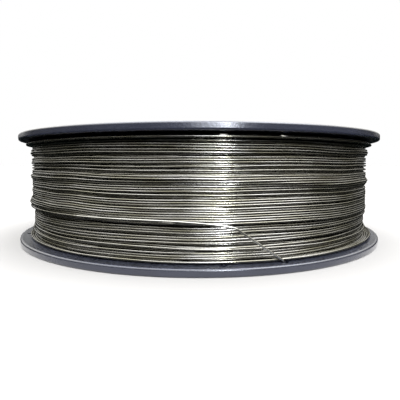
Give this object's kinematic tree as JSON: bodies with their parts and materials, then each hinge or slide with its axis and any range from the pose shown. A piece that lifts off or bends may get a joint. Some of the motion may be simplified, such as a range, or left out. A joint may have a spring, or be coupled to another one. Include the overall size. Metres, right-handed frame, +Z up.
{
  "type": "spool of flux-cored welding wire",
  "caption": "Full 200 mm plastic spool of thin flux-cored welding wire, lying flat, with a central bore and an offset drive hole.",
  "frame": {"origin": "centre of the spool's lower face, on the axis of its bore and at the height of the floor it lies on", "axes": "+Z up along the spool's axis; -Y towards the pair of anchor holes where the wire end is hooked; the drive hole is on +Y"},
  "size_m": [0.2, 0.2, 0.055],
  "materials": {
    "spool_plastic": "dark blue-black moulded plastic, satin, with a fine grain",
    "wire": "drawn steel wire, grey, with a thin film of drawing compound"
  },
  "bodies": {
    "root": {"spool_half_lower": "spool_plastic", "spool_half_upper": "spool_plastic", "wire_winding": "wire", "wire_end": "wire"}
  },
  "joints": []
}
